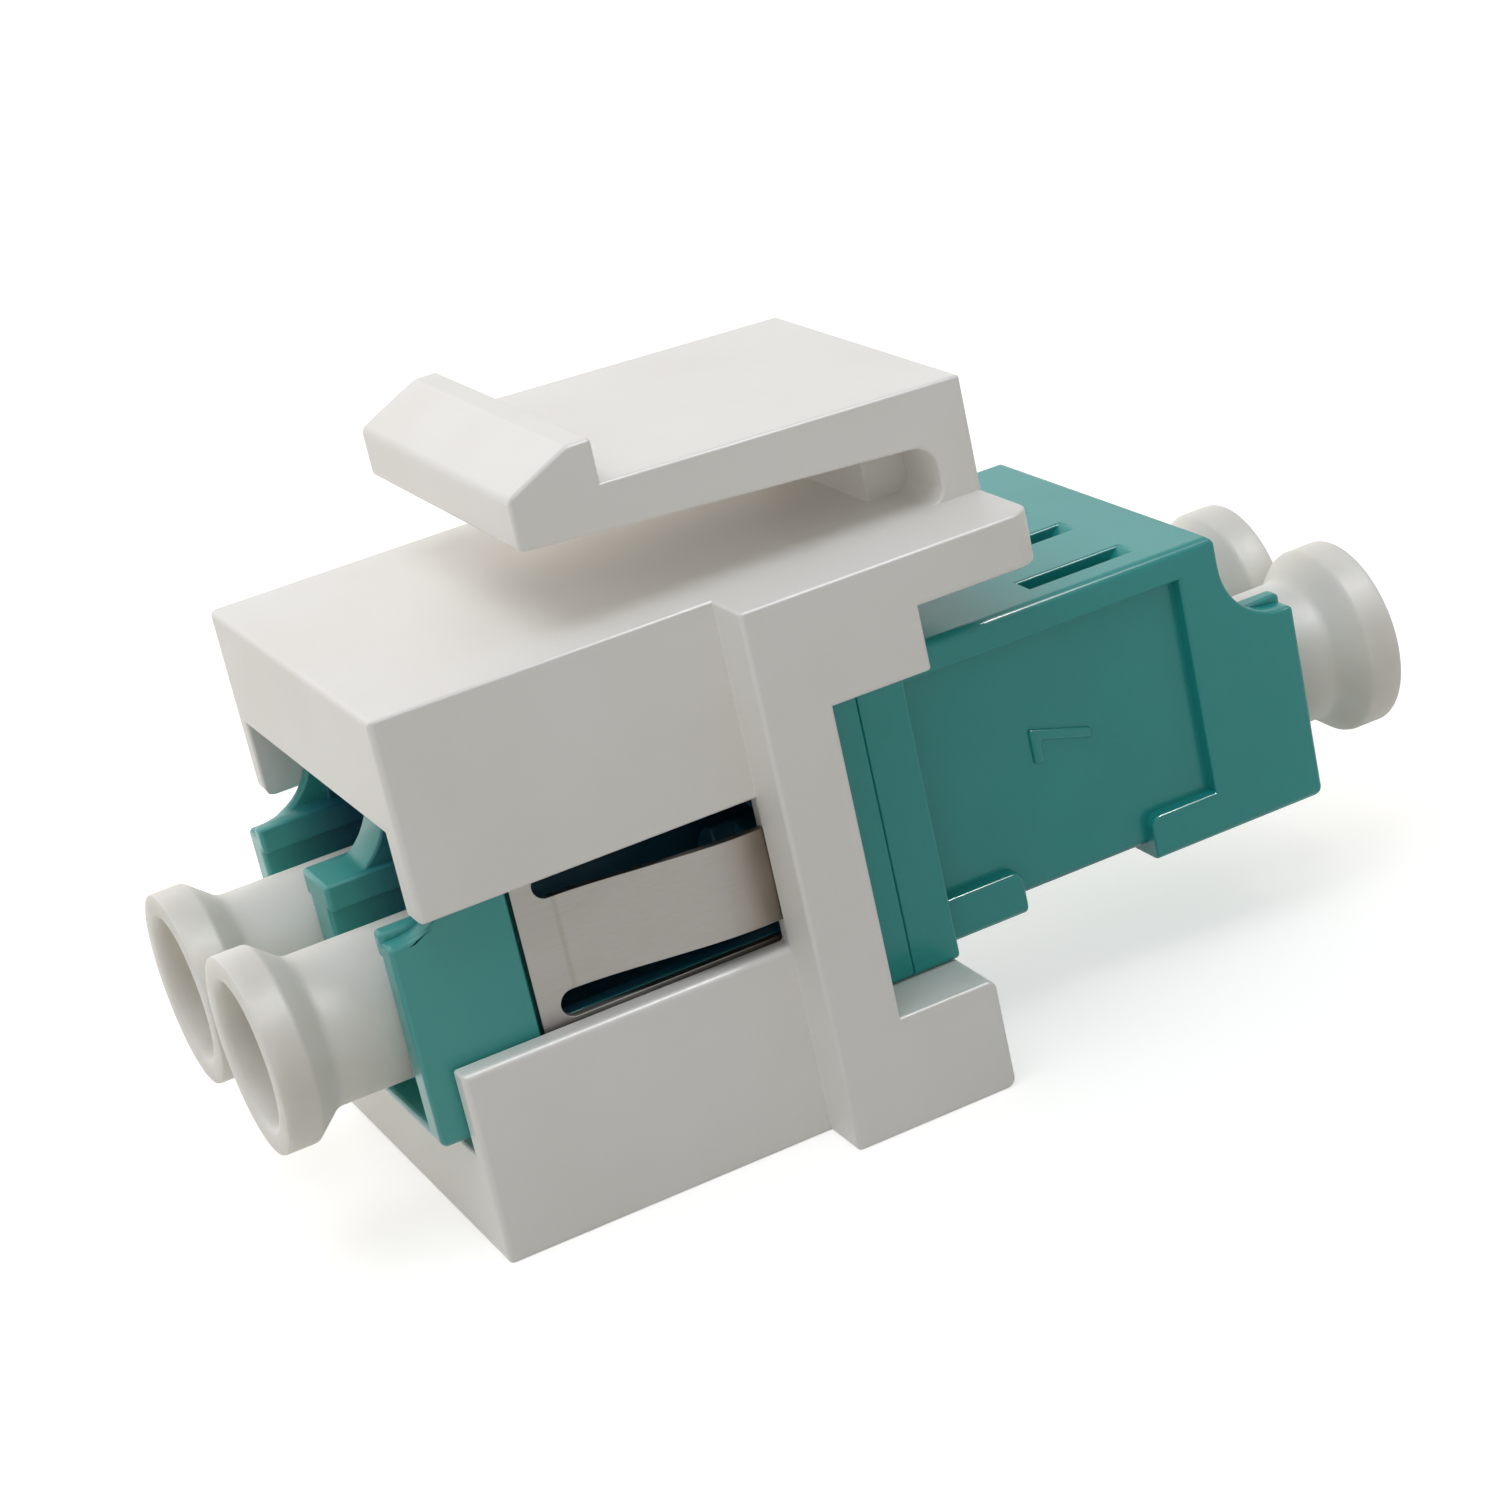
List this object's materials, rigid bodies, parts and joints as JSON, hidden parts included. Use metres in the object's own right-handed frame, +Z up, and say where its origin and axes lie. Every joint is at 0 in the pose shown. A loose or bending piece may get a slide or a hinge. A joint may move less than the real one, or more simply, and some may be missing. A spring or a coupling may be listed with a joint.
{
  "type": "duplex LC fibre adapter in a keystone carrier",
  "caption": "Aqua duplex fibre optic adapter in a white snap-in keystone carrier, with a sheet metal spring clip and clear white dust plugs in its ports.",
  "frame": {"origin": "in the base plane, under the weld seam where the two housing halves meet, midway across", "axes": "+Z up, +Y from the panel side to the rear, +X across both ports"},
  "size_m": [0.0182, 0.0376, 0.0219],
  "materials": {
    "carrier": "satin moulded ABS",
    "housing": "semi-gloss moulded PBT",
    "clip": "dull rolled stainless",
    "sleeve": "ground zirconia",
    "plug": "soft translucent"
  },
  "bodies": {
    "root": {"keystone_carrier": "carrier", "adapter_front_half": "housing", "adapter_rear_half": "housing", "spring_clip": "clip", "sleeve_left": "sleeve", "sleeve_right": "sleeve"},
    "latch": {"latch_arm": "carrier"},
    "plug_front_left": {"dust_plug_front_left": "plug"},
    "plug_front_right": {"dust_plug_front_right": "plug"},
    "plug_rear_left": {"dust_plug_rear_left": "plug"},
    "plug_rear_right": {"dust_plug_rear_right": "plug"}
  },
  "joints": [
    {"name": "latch_flex", "type": "hinge", "parent": "root", "child": "latch", "pos_m": [0, 0.00105, 0.01952], "axis": [1, 0, 0], "range_deg": [0, 12], "stiffness_Nm_per_rad": 0.5},
    {"name": "front_plug_left_pull", "type": "slide", "parent": "root", "child": "plug_front_left", "axis": [0, -1, 0], "range_m": [0, 0.015]},
    {"name": "front_plug_right_pull", "type": "slide", "parent": "root", "child": "plug_front_right", "axis": [0, -1, 0], "range_m": [0, 0.015]},
    {"name": "rear_plug_left_pull", "type": "slide", "parent": "root", "child": "plug_rear_left", "axis": [0, 1, 0], "range_m": [0, 0.015]},
    {"name": "rear_plug_right_pull", "type": "slide", "parent": "root", "child": "plug_rear_right", "axis": [0, 1, 0], "range_m": [0, 0.015]}
  ]
}
